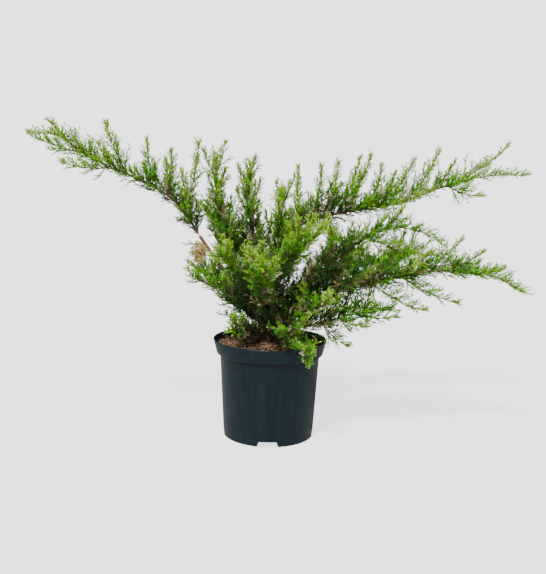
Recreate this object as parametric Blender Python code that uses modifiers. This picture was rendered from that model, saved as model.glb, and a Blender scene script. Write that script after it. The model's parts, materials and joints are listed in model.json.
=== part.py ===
"""A spreading Pfitzer juniper with white-splashed foliage, in its nursery pot.

Metres, +Z up. The origin is the centre of the pot's underside, and the viewer stands at -Y.
"""
import math
from typing import NamedTuple

import bmesh
import bpy
import numpy as np
from mathutils import Vector

PLANT = "potted_juniper"
GAP = 0.0003                    # between pieces that touch

# Pot: a five-litre container with a deep rim band and four drain channels under its base
POT_HEIGHT = 0.198
RIM_RADIUS = 0.115
BAND_FOOT_RADIUS = 0.1085
BAND_DEPTH = 0.030
BAND_ROUND = 0.005
BODY_TOP_RADIUS = 0.1008
BASE_RADIUS = 0.0914
WALL = 0.002
ROUND_STEPS = 32
ROUND_ARC_STEPS = 3
CHANNEL_COUNT = 4
CHANNEL_LENGTH = 0.036
CHANNEL_FOOT_WIDTH = 0.042
CHANNEL_ROOF_WIDTH = 0.034
CHANNEL_HEIGHT = 0.010
DRAIN_RADIUS = 0.0045
DRAIN_INSET = 0.018
DRAIN_SIDES = 10

# Potting mix, a little higher round the stem, with some bark chips on it
SOIL_EDGE_HEIGHT = 0.184
SOIL_HEIGHT = 0.190
SOIL_FLAT_RADIUS = 0.026
CHIP_COUNT = 5
CHIP_SIZE = (0.013, 0.008, 0.005)
CHIP_SIZE_SPREAD = (0.70, 1.25)
CHIP_TILT = 0.25
CHIP_SINK = 0.0012
CHIP_RING = (0.040, 0.098)

# Stem
STEM_FOOT = np.array([-0.008, 0.0, SOIL_HEIGHT + GAP])
STEM_LEAN = np.array([-0.06, 0.03, 0.0])
STEM_HEIGHT = 0.088
STEM_HEIGHTS = (0.0, 0.010, 0.030, 0.060, STEM_HEIGHT)
STEM_RADII = (0.0195, 0.0155, 0.0135, 0.0108, 0.0085)
STEM_SIDES = 8

# Limbs
PATH_STEP = 0.010
BOUGH_STEP = 0.022
BOUGH_TAPER = 0.62
BOUGH_SIDES = 6
STALK_STEP = 0.030
STALK_SIDES = 4
STALK_TIP_RADIUS = 0.0012
LEADER_SAMPLES = 8
LEADER_GIRTH = 1.15
LEADER_BEND = 12.0              # degrees that a leader's rise gains on either side of its mean

# Sprays: slim four-sided cores, with a pair of needle tufts standing out of each ring
SEED = 20
GOLDEN_TURN = 137.5
SPRAY_SPACING = 0.049
SPRAY_START = 0.010
SPRAY_SPREAD = 46.0             # degrees away from the stalk
SPRAY_LIFT = 0.22
SPRAY_RING_STEP = 0.0175
SPRAY_FORM = (0.42, 0.95, 1.0, 0.80, 0.55, 0.30)   # girth at even places from root to tip
CORE_RADIUS = 0.0050
TUFT_OUT = 0.0120
TUFT_AHEAD = 0.0165
LEAST_RADIUS = 0.0010
LEAST_LENGTH = 0.024
ROOM_STEP = 0.0044              # between the places where a spray asks for room
ROOT_PLACES = 2                 # at a spray's root, where it stands on its own stalk
TIP_SHARE = 0.50                # a spray at the tip, as a share of one at the root
SIZE_SPREAD = (0.82, 1.15)
CLEARANCE = 0.0010
POT_CLEARANCE = 0.0030

# Dense heart of a mass
HEART_START = 0.03
HEART_ROUND_STEPS = 6
HEART_RINGS = 6
HEART_ROUGHNESS = (0.62, 1.30)
HEART_LEAN = 0.010
HEART_CLEARANCE = 0.0022
HEART_SHRINK_STEPS = 12
HEART_LEAST = 0.06

# Dead tuft below the bare part of the left arm
DEAD_ARM = "left_arm"
DEAD_PLACE = 0.197
DEAD_HEADING = 236.0
DEAD_RISE = -58.0
DEAD_LENGTH = 0.034
DEAD_RADII = (0.0016, 0.0010)
DEAD_SPRAYS = 6
DEAD_SPAN = (0.20, 0.95)        # where its sprays stand, as shares of its stalk
DEAD_SPRAY_LENGTH = 0.028
DEAD_SPREAD = 58.0
DEAD_GIRTH = 0.55

# Colours, roughness and metal share
POT_LOOK = ((0.022, 0.044, 0.058), 0.42)
SOIL_LOOK = ((0.100, 0.052, 0.026), 0.95)
STEM_LOOK = ((0.075, 0.040, 0.022), 0.85)
BOUGH_LOOK = ((0.170, 0.080, 0.038), 0.75)
DEAD_LOOK = ((0.700, 0.620, 0.330), 0.80)
TIP_GREEN = (0.270, 0.430, 0.085)
DEEP_GREEN = (0.085, 0.185, 0.062)
LEAF_ROUGHNESS = 0.60


class Leader(NamedTuple):
    """A main side shoot: its place as a share of the arm, then degrees above level and sideways."""
    along: float
    length: float
    rise: float
    turn: float


class Arm(NamedTuple):
    """A limb with the foliage at its end. Angles are in degrees, spaced evenly from root to tip."""
    name: str
    foot: float                 # height on the stem
    heading: tuple              # counter-clockwise from +X
    rise: tuple                 # above level
    length: float
    bare: float                 # length without foliage
    girth: float                # radius at the root
    reach: float                # length of its longest twigs
    heart: float = 0.0          # radius of its dense heart
    heart_end: float = 0.80     # where the heart ends, as a share of the foliage
    together: int = 2           # sprays at each place along the stalk
    leaders: tuple = ()


ARMS = (
    Arm("left_arm", 0.054, (203, 196, 173), (50, 44, 54, 58, 28, 20, 39, -11), 0.589, 0.215, 0.0050,
        reach=0.040, together=1, leaders=(
            Leader(0.40, 0.110, 62, 54), Leader(0.46, 0.128, 75, -156), Leader(0.52, 0.080, 82, 86),
            Leader(0.57, 0.087, 74, -38), Leader(0.67, 0.094, 65, -8), Leader(0.71, 0.053, 50, 29),
            Leader(0.73, 0.081, 3, 16), Leader(0.76, 0.122, 35, -15), Leader(0.82, 0.102, 18, 4))),
    Arm("right_upper", 0.064, (102, -6, 2, -2), (56, 88, 22, 14, 11, 23, 13, -3), 0.676, 0.200, 0.0048,
        reach=0.042, together=1, leaders=(
            Leader(0.31, 0.116, 74, 97), Leader(0.34, 0.109, 77, 5), Leader(0.35, 0.094, -23, -38),
            Leader(0.41, 0.107, 72, 69), Leader(0.43, 0.118, 68, 15), Leader(0.44, 0.124, 62, -16),
            Leader(0.48, 0.160, 16, -18), Leader(0.53, 0.086, 68, 41), Leader(0.57, 0.103, 56, -20),
            Leader(0.64, 0.117, 54, 15), Leader(0.72, 0.069, 51, -1), Leader(0.76, 0.153, 32, 7),
            Leader(0.77, 0.070, -16, -27))),
    Arm("right_mid", 0.060, (-33, -14, 8), (35, 44, 35, 43, -1, -34), 0.408, 0.110, 0.0045,
        reach=0.044, heart=0.016, heart_end=0.36, leaders=(
            Leader(0.49, 0.077, 64, -127), Leader(0.56, 0.080, 42, -8), Leader(0.64, 0.143, -14, 7),
            Leader(0.74, 0.043, 49, 3))),
    Arm("right_low", 0.044, (-31, -7, 5), (37, 23, 15, 13, -3, -35), 0.524, 0.080, 0.0048,
        reach=0.060, heart=0.024, heart_end=0.46, leaders=(
            Leader(0.45, 0.110, -24, -12), Leader(0.51, 0.098, 34, -22), Leader(0.56, 0.110, -23, -11),
            Leader(0.60, 0.111, 33, 16), Leader(0.69, 0.087, 25, -12), Leader(0.73, 0.113, 0, 15))),
    Arm("left_low", 0.026, (222, 193), (41, 38, 29), 0.180, 0.045, 0.0035, reach=0.050, heart=0.020),
    Arm("left_upper", 0.066, (186, 196, 170), (58, 59, 78, 90), 0.312, 0.070, 0.0040,
        reach=0.060, heart=0.024),
    Arm("crown_left", 0.0883, (156, 131), (90, 68, 80, 91), 0.252, 0.050, 0.0036, reach=0.060, heart=0.024),
    Arm("crown_mid", 0.068, (-50, -60, -40), (60, 76, 84, 88), 0.235, 0.060, 0.0036, reach=0.058, heart=0.024),
    Arm("crown_front", 0.060, (-84, -38), (48, 42, 38), 0.255, 0.070, 0.0038, reach=0.060, heart=0.024),
    Arm("right_dense", 0.032, (-4, 3, 2), (26, 26, 32, 28), 0.330, 0.060, 0.0045, reach=0.070, heart=0.028),
    Arm("front_low", 0.012, (-76, -48), (44, 8, -14, -50), 0.180, 0.050, 0.0035, reach=0.044),
    Arm("right_bottom", 0.014, (-26, -8), (20, 16, 20, 2), 0.255, 0.055, 0.0036, reach=0.056, heart=0.024,
        leaders=(Leader(0.48, 0.067, -35, -16), Leader(0.61, 0.063, -7, -24), Leader(0.74, 0.078, -1, -2))),
    Arm("front_right", 0.022, (-48, -40), (30, 24, 26), 0.170, 0.045, 0.0034, reach=0.052, heart=0.022),
    Arm("base_left", 0.012, (232, 224), (30, 12, 0), 0.100, 0.040, 0.0030, reach=0.044),
    Arm("back_left_low", 0.030, (142, 145), (34, 30, 20), 0.200, 0.060, 0.0038, reach=0.056, heart=0.022),
    Arm("back_left", 0.052, (128, 116), (46, 46, 32, 16), 0.330, 0.080, 0.0045, reach=0.062, heart=0.026),
    Arm("back", 0.038, (82, 72), (42, 38, 20, 0), 0.360, 0.080, 0.0045, reach=0.062, heart=0.028),
    Arm("back_right", 0.026, (46, 42), (34, 26, 14, -4), 0.360, 0.080, 0.0045, reach=0.062, heart=0.026),
    Arm("crown_right", 0.050, (62, 44), (52, 60, 70), 0.230, 0.060, 0.0038, reach=0.058, heart=0.024),
    Arm("front", 0.030, (-96, -88), (42, 38, 22), 0.250, 0.060, 0.0042, reach=0.058, heart=0.024),
    Arm("front_left", 0.044, (248, 238), (46, 42, 28), 0.230, 0.060, 0.0040, reach=0.056, heart=0.022),
)


# Scene and materials

def clear_scene():
    for obj in list(bpy.data.objects):
        bpy.data.objects.remove(obj, do_unlink=True)


def new_collection(name):
    collection = bpy.data.collections.new(name)
    bpy.context.scene.collection.children.link(collection)
    return collection


def new_material(name, colour, roughness):
    material = bpy.data.materials.new(name)
    material.use_nodes = True
    shader = material.node_tree.nodes["Principled BSDF"]
    shader.inputs["Base Color"].default_value = (*colour, 1.0)
    shader.inputs["Roughness"].default_value = roughness
    shader.inputs["Metallic"].default_value = 0.0
    material.diffuse_color = (*colour, 1.0)
    return material


def mix(first, second, share):
    return tuple(a + (b - a) * share for a, b in zip(first, second))


def set_look(obj, colour, roughness):
    obj.data.materials.clear()
    obj.data.materials.append(new_material(obj.name, colour, roughness))


def add_object(name, mesh, collection):
    obj = bpy.data.objects.new(name, mesh)
    collection.objects.link(obj)
    return obj


def mark_as_cutter(obj):
    obj.display_type = "WIRE"
    obj.hide_render = True


# Modelling helpers

def evaluated_mesh(obj):
    bpy.context.view_layer.update()
    depsgraph = bpy.context.evaluated_depsgraph_get()
    return bpy.data.meshes.new_from_object(obj.evaluated_get(depsgraph))


def apply_modifiers(obj):
    mesh = evaluated_mesh(obj)
    obj.modifiers.clear()
    obj.data = mesh


def cut_away(obj, cutter):
    modifier = obj.modifiers.new("cut_" + cutter.name, "BOOLEAN")
    modifier.operation = "DIFFERENCE"
    modifier.solver = "EXACT"
    modifier.object = cutter


def turned(name, profile, collection):
    """Turn a profile, given from its top on the axis down its outer side, round the Z axis."""
    mesh = bpy.data.meshes.new(name)
    edges = [(i, i + 1) for i in range(len(profile) - 1)]
    mesh.from_pydata([(radius, 0.0, height) for radius, height in profile], edges, [])
    obj = add_object(name, mesh, collection)
    screw = obj.modifiers.new("turn", "SCREW")
    screw.steps = ROUND_STEPS
    screw.render_steps = ROUND_STEPS
    screw.use_merge_vertices = True
    screw.merge_threshold = 0.00001
    screw.use_smooth_shade = False
    return obj


def tube(name, points, radii, sides, collection):
    """A closed tapering tube along the points, made as a curve and turned into a mesh."""
    curve = bpy.data.curves.new(name, "CURVE")
    curve.dimensions = "3D"
    curve.bevel_depth = 1.0
    curve.bevel_resolution = (sides - 4) // 2
    curve.use_fill_caps = True
    spline = curve.splines.new("POLY")
    spline.points.add(len(points) - 1)
    for place, point, radius in zip(spline.points, points, radii):
        place.co = (*point, 1.0)
        place.radius = radius
    spline_object = add_object(name + "_line", curve, collection)
    mesh = evaluated_mesh(spline_object)
    bpy.data.objects.remove(spline_object, do_unlink=True)
    weld(mesh)
    mesh.name = name
    return add_object(name, mesh, collection)


def weld(mesh):
    shape = bmesh.new()
    shape.from_mesh(mesh)
    bmesh.ops.remove_doubles(shape, verts=shape.verts, dist=0.00001)
    bmesh.ops.recalc_face_normals(shape, faces=shape.faces)
    bmesh.ops.triangulate(shape, faces=shape.faces)
    shape.to_mesh(mesh)
    shape.free()


def mesh_of(name, shape):
    mesh = bpy.data.meshes.new(name)
    shape.to_mesh(mesh)
    shape.free()
    return mesh


def finished_mesh(name, shape):
    """A mesh of triangles that faces outwards, ready to be fused."""
    bmesh.ops.triangulate(shape, faces=shape.faces)
    if shape.calc_volume(signed=True) < 0:
        bmesh.ops.reverse_faces(shape, faces=shape.faces)
    return mesh_of(name, shape)


def body_of(start):
    """Every vertex that edges connect to the first one."""
    found = {start}
    waiting = [start]
    while waiting:
        vertex = waiting.pop()
        for edge in vertex.link_edges:
            other = edge.other_vert(vertex)
            if other not in found:
                found.add(other)
                waiting.append(other)
    return found


def extent_of(body):
    spots = np.array([vertex.co for vertex in body])
    return float(np.linalg.norm(spots.max(axis=0) - spots.min(axis=0)))


def keep_main_body(obj):
    """Drop loose scraps, and the walls of hollows that a union sealed."""
    shape = bmesh.new()
    shape.from_mesh(obj.data)
    left = set(shape.verts)
    bodies = []
    while left:
        body = body_of(next(iter(left)))
        bodies.append(body)
        left -= body
    main = max(bodies, key=extent_of)
    scraps = [vertex for vertex in shape.verts if vertex not in main]
    bmesh.ops.delete(shape, geom=scraps, context="VERTS")
    bmesh.ops.triangulate(shape, faces=shape.faces)
    shape.to_mesh(obj.data)
    shape.free()


def join_all(obj, pieces):
    """Fuse every object of the collection to this one, then remove them."""
    modifier = obj.modifiers.new("join", "BOOLEAN")
    modifier.operation = "UNION"
    modifier.solver = "MANIFOLD"
    modifier.operand_type = "COLLECTION"
    modifier.collection = pieces
    apply_modifiers(obj)
    for piece in list(pieces.objects):
        bpy.data.objects.remove(piece, do_unlink=True)
    bpy.data.collections.remove(pieces)
    keep_main_body(obj)


# Pot and potting mix

def band_arc(inset):
    """The rounded lower edge of the rim band, offset inwards."""
    centre_radius = BAND_FOOT_RADIUS - BAND_ROUND
    centre_height = POT_HEIGHT - BAND_DEPTH + BAND_ROUND
    angles = np.linspace(0.0, -0.5 * math.pi, ROUND_ARC_STEPS + 1)
    size = BAND_ROUND - inset
    return [(centre_radius + size * math.cos(a), centre_height + size * math.sin(a)) for a in angles]


def wall_line(inset, bottom):
    """The pot's side below its rim, offset inwards, down to the axis at the given height."""
    shelf_height = POT_HEIGHT - BAND_DEPTH + inset
    body = [(BODY_TOP_RADIUS - inset, shelf_height), (BASE_RADIUS - inset, bottom), (0.0, bottom)]
    return band_arc(inset) + body


def band_radius(height):
    """Outer radius of the rim band at a height."""
    foot_height = POT_HEIGHT - BAND_DEPTH + BAND_ROUND
    return float(np.interp(height, (foot_height, POT_HEIGHT), (BAND_FOOT_RADIUS, RIM_RADIUS)))


def channel(name, turn, margin, collection):
    """A wedge for one drain channel, which runs in from the edge of the base."""
    shape = bmesh.new()
    bmesh.ops.create_cube(shape, size=1.0)
    inner = BASE_RADIUS - CHANNEL_LENGTH - margin
    outer = BASE_RADIUS + WALL + margin
    top = CHANNEL_HEIGHT + margin
    bottom = -WALL
    slope = 0.5 * (CHANNEL_FOOT_WIDTH - CHANNEL_ROOF_WIDTH) / CHANNEL_HEIGHT
    for vertex in shape.verts:
        height = top if vertex.co.z > 0 else bottom
        half_width = 0.5 * CHANNEL_FOOT_WIDTH + margin - slope * (height - margin)
        side = math.copysign(half_width, vertex.co.y)
        vertex.co = Vector((inner if vertex.co.x < 0 else outer, side, height))
    wedge = add_object(name, mesh_of(name, shape), collection)
    wedge.rotation_euler.z = turn
    mark_as_cutter(wedge)
    return wedge


def drain_hole(name, turn, collection):
    shape = bmesh.new()
    bmesh.ops.create_cone(shape, segments=DRAIN_SIDES, radius1=DRAIN_RADIUS, radius2=DRAIN_RADIUS,
                          depth=4 * CHANNEL_HEIGHT, cap_ends=True)
    hole = add_object(name, mesh_of(name, shape), collection)
    distance = BASE_RADIUS - DRAIN_INSET
    hole.location = (distance * math.cos(turn), distance * math.sin(turn), 0.0)
    mark_as_cutter(hole)
    return hole


def channel_turns():
    return [2 * math.pi * i / CHANNEL_COUNT for i in range(CHANNEL_COUNT)]


def make_pot(parts, cutters):
    pot = turned("pot", [(0.0, POT_HEIGHT), (RIM_RADIUS, POT_HEIGHT)] + wall_line(0.0, 0.0), parts)
    above = POT_HEIGHT + WALL
    rim_inside = [(0.0, above), (RIM_RADIUS - WALL, above), (RIM_RADIUS - WALL, POT_HEIGHT)]
    inside = turned("pot_inside", rim_inside + wall_line(WALL, WALL), cutters)
    mark_as_cutter(inside)
    for i, turn in enumerate(channel_turns()):
        cut_away(inside, channel(f"channel_wall_{i}", turn, WALL, cutters))
    cut_away(pot, inside)
    for i, turn in enumerate(channel_turns()):
        cut_away(pot, channel(f"channel_{i}", turn, 0.0, cutters))
        cut_away(pot, drain_hole(f"drain_{i}", turn, cutters))
    set_look(pot, *POT_LOOK)


def soil_height(distance):
    edge = band_radius(SOIL_EDGE_HEIGHT)
    share = np.clip((distance - SOIL_FLAT_RADIUS) / (edge - SOIL_FLAT_RADIUS), 0.0, 1.0)
    return SOIL_HEIGHT + (SOIL_EDGE_HEIGHT - SOIL_HEIGHT) * float(share)


def add_chips(chips, rng):
    for i in range(CHIP_COUNT):
        turn = math.radians(GOLDEN_TURN) * i
        distance = rng.uniform(*CHIP_RING)
        shape = bmesh.new()
        bmesh.ops.create_cube(shape, size=1.0)
        chip = add_object(f"chip_{i}", mesh_of("chip", shape), chips)
        chip.scale = [size * rng.uniform(*CHIP_SIZE_SPREAD) for size in CHIP_SIZE]
        height = soil_height(distance) + CHIP_SINK
        chip.location = (distance * math.cos(turn), distance * math.sin(turn), height)
        tilt = rng.uniform(-CHIP_TILT, CHIP_TILT, 2)
        chip.rotation_euler = (*tilt, rng.uniform(0.0, math.pi))


def make_soil(parts, cutters, rng):
    inset = WALL + GAP
    edge = band_radius(SOIL_EDGE_HEIGHT) - inset
    top = [(0.0, SOIL_HEIGHT), (SOIL_FLAT_RADIUS, SOIL_HEIGHT), (edge, SOIL_EDGE_HEIGHT)]
    soil = turned("soil", top + wall_line(inset, inset), parts)
    for i, turn in enumerate(channel_turns()):
        cut_away(soil, channel(f"soil_channel_{i}", turn, inset, cutters))
    apply_modifiers(soil)
    chips = new_collection("chips")
    add_chips(chips, rng)
    join_all(soil, chips)
    set_look(soil, *SOIL_LOOK)


# Stem, arms and their paths

def stem_point(height):
    """The stem stands upright on the potting mix, and leans above its flare."""
    leaning = max(height - STEM_HEIGHTS[1], 0.0)
    return STEM_FOOT + np.array([0.0, 0.0, height]) + STEM_LEAN * leaning


def path_along(start, heading, rise, length, count):
    """Points along a limb whose compass heading and rise change evenly between the given angles."""
    places = (np.arange(count) + 0.5) / count
    slope = np.radians(np.interp(places, np.linspace(0, 1, len(rise)), rise))
    course = np.radians(np.interp(places, np.linspace(0, 1, len(heading)), heading))
    level = np.cos(slope)
    steps = np.stack([level * np.cos(course), level * np.sin(course), np.sin(slope)], axis=1)
    return np.vstack([start, start + np.cumsum(steps * length / count, axis=0)])


def arm_path(arm):
    count = round(arm.length / PATH_STEP)
    return path_along(stem_point(arm.foot), arm.heading, arm.rise, arm.length, count)


def stretch(path, start, end, step):
    """Part of a path, between two lengths along it, with points about a step apart."""
    pieces = np.linalg.norm(np.diff(path, axis=0), axis=1)
    lengths = np.concatenate([[0.0], np.cumsum(pieces)])
    count = max(2, round((end - start) / step) + 1)
    places = np.linspace(start, end, count)
    return np.stack([np.interp(places, lengths, path[:, k]) for k in range(3)], axis=1)


def unit(vector):
    return vector / np.linalg.norm(vector)


def leader_path(arm, leader):
    """A leader keeps its mean rise, and bends up a little towards its tip."""
    path = arm_path(arm)
    at = leader.along * arm.length
    root, ahead = stretch(path, at, at + PATH_STEP, PATH_STEP)
    forward = ahead - root
    heading = math.degrees(math.atan2(forward[1], forward[0])) + leader.turn
    rise = (leader.rise - LEADER_BEND, leader.rise + LEADER_BEND)
    return path_along(root, (heading, heading), rise, leader.length, LEADER_SAMPLES)


def bough_radius(arm, place):
    return arm.girth * (1 + (BOUGH_TAPER - 1) * place / arm.bare)


def stalk_start(arm):
    """Where the foliage's stalk starts, just clear of the bare limb even where the arm bends."""
    path = arm_path(arm)
    before, end = stretch(path, arm.bare - BOUGH_STEP, arm.bare, BOUGH_STEP)
    after = stretch(path, arm.bare, arm.bare + STALK_STEP, STALK_STEP)[-1]
    bend = Vector(end - before).angle(Vector(after - end))
    return arm.bare + GAP + bough_radius(arm, arm.bare) * math.tan(bend)


def stalk_path(arm, step=STALK_STEP):
    """The arm's axis inside its foliage."""
    return stretch(arm_path(arm), stalk_start(arm), arm.length, step)


def tuft_path():
    """The dead tuft's short stalk, which starts just clear of the limb that it hangs from."""
    arm = next(arm for arm in ARMS if arm.name == DEAD_ARM)
    root = stretch(arm_path(arm), DEAD_PLACE, DEAD_PLACE + PATH_STEP, PATH_STEP)[0]
    whole = path_along(root, (DEAD_HEADING,), (DEAD_RISE,), DEAD_LENGTH, 1)
    start = bough_radius(arm, DEAD_PLACE) + DEAD_RADII[0]
    return stretch(whole, start, DEAD_LENGTH, STALK_STEP)


def make_stem(parts):
    points = [stem_point(height) for height in STEM_HEIGHTS]
    stem = tube("trunk", points, STEM_RADII, STEM_SIDES, parts)
    set_look(stem, *STEM_LOOK)


def stem_cutter(cutters):
    heights = (-GAP,) + STEM_HEIGHTS[1:-1] + (STEM_HEIGHT + GAP,)
    points = [stem_point(height) for height in heights]
    cutter = tube("trunk_cutter", points, [radius + GAP for radius in STEM_RADII], STEM_SIDES, cutters)
    mark_as_cutter(cutter)
    return cutter


def make_bough(arm, cutter, parts):
    points = stretch(arm_path(arm), 0.0, arm.bare, BOUGH_STEP)
    places = np.linspace(0.0, arm.bare, len(points))
    radii = [bough_radius(arm, place) for place in places]
    bough = tube(arm.name + "_bough", points, radii, BOUGH_SIDES, parts)
    if arm.foot < STEM_HEIGHT:
        cut_away(bough, cutter)
        apply_modifiers(bough)
        keep_main_body(bough)
    set_look(bough, *BOUGH_LOOK)


# Room for foliage: each mass keeps to its own side of its neighbours, off the limbs and off the pot

def frame_lines():
    """The stalk and leaders of each mass, as closely spaced points."""
    lines = {}
    for arm in ARMS:
        rows = [stalk_path(arm, PATH_STEP)]
        for leader in arm.leaders:
            rows.append(stretch(leader_path(arm, leader), 0.0, leader.length, PATH_STEP))
        lines[arm.name] = np.vstack(rows)
    lines["dead_tuft"] = stretch(tuft_path(), 0.0, DEAD_LENGTH, PATH_STEP)
    return lines


def limb_lines():
    """Points along the stem and boughs, each with the limb's radius there."""
    rows = []
    for height, radius in zip(STEM_HEIGHTS, STEM_RADII):
        rows.append([*stem_point(height), radius])
    for arm in ARMS:
        points = stretch(arm_path(arm), 0.0, arm.bare, 0.5 * PATH_STEP)
        for place, point in zip(np.linspace(0.0, arm.bare, len(points)), points):
            rows.append([*point, bough_radius(arm, place)])
    return np.array(rows)


def nearest(points, line):
    gaps = np.linalg.norm(points[:, None, :] - line[None, :, :], axis=2)
    return gaps.min(axis=1)


def clear_of_pot(points):
    """How far points are from the rim and the potting mix."""
    distance = np.hypot(points[:, 0], points[:, 1])
    above_soil = points[:, 2] - SOIL_HEIGHT
    above_rim = points[:, 2] - POT_HEIGHT
    past_rim = np.maximum(above_rim, distance - RIM_RADIUS)
    return np.where(distance < RIM_RADIUS - WALL - 2 * POT_CLEARANCE, above_soil, past_rim) - POT_CLEARANCE


class Room:
    """The space of one mass, which is nearer to its own lines than to its neighbours'."""

    def __init__(self, name, lines, limbs):
        self.own = lines[name]
        self.others = np.vstack([line for other, line in lines.items() if other != name])
        self.limbs = limbs

    def free(self, points):
        """Radius of the free ball round each point."""
        spare = 0.5 * (nearest(points, self.others) - nearest(points, self.own))
        if len(self.limbs):
            apart = np.linalg.norm(points[:, None, :] - self.limbs[None, :, :3], axis=2)
            spare = np.minimum(spare, (apart - self.limbs[None, :, 3]).min(axis=1))
        return np.minimum(spare, clear_of_pot(points))


# Growing a mass

def side_direction(forward, turn, spread, lift):
    """Lean away from a shoot by the spread, round it by the turn, then towards the light."""
    across, over = cross_axes(forward)
    round_it = math.cos(turn) * across + math.sin(turn) * over
    outward = math.cos(math.radians(spread)) * forward + math.sin(math.radians(spread)) * round_it
    return unit(outward + np.array((0.0, 0.0, lift)))


def cross_axes(forward):
    """Two directions across a shoot, the first one level."""
    across = unit(np.cross(forward, (0.0, 0.0, 1.0)) + np.array((1e-6, 0.0, 0.0)))
    return across, np.cross(across, forward)


def lofted(name, rings, tip):
    """A closed body over rings of equally many points, flat at its root and pointed at its tip."""
    shape = bmesh.new()
    rows = [[shape.verts.new(point) for point in ring] for ring in rings]
    end = shape.verts.new(tip)
    shape.faces.new(reversed(rows[0]))
    for row, following in zip(rows, rows[1:]):
        for k in range(len(row)):
            after = (k + 1) % len(row)
            shape.faces.new((row[k], row[after], following[after]))
            shape.faces.new((row[k], following[after], following[k]))
    for k in range(len(rows[-1])):
        shape.faces.new((rows[-1][k], rows[-1][(k + 1) % len(rows[-1])], end))
    return finished_mesh(name, shape)


class Mass:
    """One mass of foliage: its stalk, and the pieces that are to be fused to it."""

    def __init__(self, name, room, rng, parts):
        self.name = name
        self.room = room
        self.rng = rng
        self.parts = parts
        self.pieces = new_collection(name + "_pieces")
        self.stalk = None

    def roomy_length(self, path, length):
        """How far a spray can follow its path before it runs out of room."""
        points = stretch(path, 0.0, length, ROOM_STEP)[ROOT_PLACES:]
        tight = np.flatnonzero(self.room.free(points) < LEAST_RADIUS + CLEARANCE)
        return length if len(tight) == 0 else ROOM_STEP * (tight[0] + 1)

    def add_spray(self, path, length, girth=1.0):
        """A core along the path, whose rings each hold two tufts, crosswise to those of the ring before."""
        length = self.roomy_length(path, length)
        centres = stretch(path, 0.0, length, SPRAY_RING_STEP)
        places = np.linspace(0, 1, len(centres))
        form = girth * np.interp(places, np.linspace(0, 1, len(SPRAY_FORM)), SPRAY_FORM)
        spare = self.room.free(centres) - CLEARANCE
        if length < LEAST_LENGTH or spare[0] < LEAST_RADIUS:
            return
        turn = self.rng.uniform(0.0, 0.5 * math.pi)
        rings = []
        for i in range(len(centres) - 1):
            forward = unit(centres[i + 1] - centres[i])
            radius = min(CORE_RADIUS * form[i], max(spare[i], LEAST_RADIUS))
            rings.append(self.ring(centres[i], forward, radius, form[i], turn, i))
        add_object("spray", lofted("spray", rings, centres[-1]), self.pieces)

    def ring(self, centre, forward, radius, size, turn, number):
        across, over = cross_axes(forward)
        points = []
        for k in range(4):
            angle = turn + 0.5 * math.pi * k
            outward = math.cos(angle) * across + math.sin(angle) * over
            point = centre + outward * radius
            tuft = centre + outward * TUFT_OUT * size + forward * TUFT_AHEAD * size
            has_tuft = number > 0 and (k + number) % 2 == 0
            if has_tuft and self.room.free(np.array([tuft, 0.5 * (tuft + point)])).min() > CLEARANCE:
                point = tuft
            points.append(point)
        return points

    def grow(self, arm):
        path = stalk_path(arm)
        radii = np.linspace(bough_radius(arm, arm.bare), STALK_TIP_RADIUS, len(path))
        self.stalk = tube(self.name, path, radii, STALK_SIDES, self.parts)
        for leader in arm.leaders:
            self.add_spray(leader_path(arm, leader), leader.length, LEADER_GIRTH)
        if arm.heart:
            self.add_heart(arm)
        self.add_sprays(arm)

    def add_sprays(self, arm):
        span = arm.length - arm.bare
        turn = self.rng.uniform(0.0, 2 * math.pi)
        for place in np.arange(SPRAY_START, span - LEAST_LENGTH, SPRAY_SPACING):
            root, ahead = stretch(arm_path(arm), arm.bare + place, arm.bare + place + PATH_STEP, PATH_STEP)
            for _ in range(arm.together):
                turn += math.radians(GOLDEN_TURN)
                share = 1 + (TIP_SHARE - 1) * place / span
                length = arm.reach * share * self.rng.uniform(*SIZE_SPREAD)
                direction = side_direction(unit(ahead - root), turn, SPRAY_SPREAD, SPRAY_LIFT)
                self.add_spray(np.array([root, root + direction * length]), length)

    def add_heart(self, arm):
        """A rough body round the stalk, drawn in wherever the mass has less room."""
        shape = bmesh.new()
        bmesh.ops.create_uvsphere(shape, u_segments=HEART_ROUND_STEPS, v_segments=HEART_RINGS, radius=1.0)
        span = arm.length - arm.bare
        path = arm_path(arm)
        for vertex in shape.verts:
            share = HEART_START + (arm.heart_end - HEART_START) * 0.5 * (vertex.co.z + 1)
            at = arm.bare + share * span
            centre, ahead = stretch(path, at, at + PATH_STEP, PATH_STEP)
            forward = unit(ahead - centre)
            across, over = cross_axes(forward)
            outward = vertex.co.x * across + vertex.co.y * over
            rough = self.rng.uniform(*HEART_ROUGHNESS)
            offset = outward * arm.heart * rough + forward * HEART_LEAN * (rough - HEART_ROUGHNESS[0])
            vertex.co = Vector(self.drawn_in(centre, offset))
        add_object("heart", finished_mesh("heart", shape), self.pieces)

    def drawn_in(self, centre, offset):
        """The farthest place towards the offset that the mass has room for."""
        shares = np.linspace(HEART_LEAST, 1.0, HEART_SHRINK_STEPS)
        free = self.room.free(centre + offset * shares[:, None]) > HEART_CLEARANCE
        last = len(shares) if free.all() else int(np.argmin(free))
        return centre + offset * shares[max(last - 1, 0)]

    def grow_tuft(self):
        path = tuft_path()
        self.stalk = tube(self.name, path, np.linspace(*DEAD_RADII, len(path)), STALK_SIDES, self.parts)
        direction = unit(path[-1] - path[0])
        for i, share in enumerate(np.linspace(*DEAD_SPAN, DEAD_SPRAYS)):
            root = path[0] + share * (path[-1] - path[0])
            side = side_direction(direction, math.radians(GOLDEN_TURN) * i, DEAD_SPREAD, 0.0)
            self.add_spray(np.array([root, root + side * DEAD_SPRAY_LENGTH]), DEAD_SPRAY_LENGTH, DEAD_GIRTH)

    def finish(self, colour, roughness):
        join_all(self.stalk, self.pieces)
        set_look(self.stalk, colour, roughness)


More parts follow.
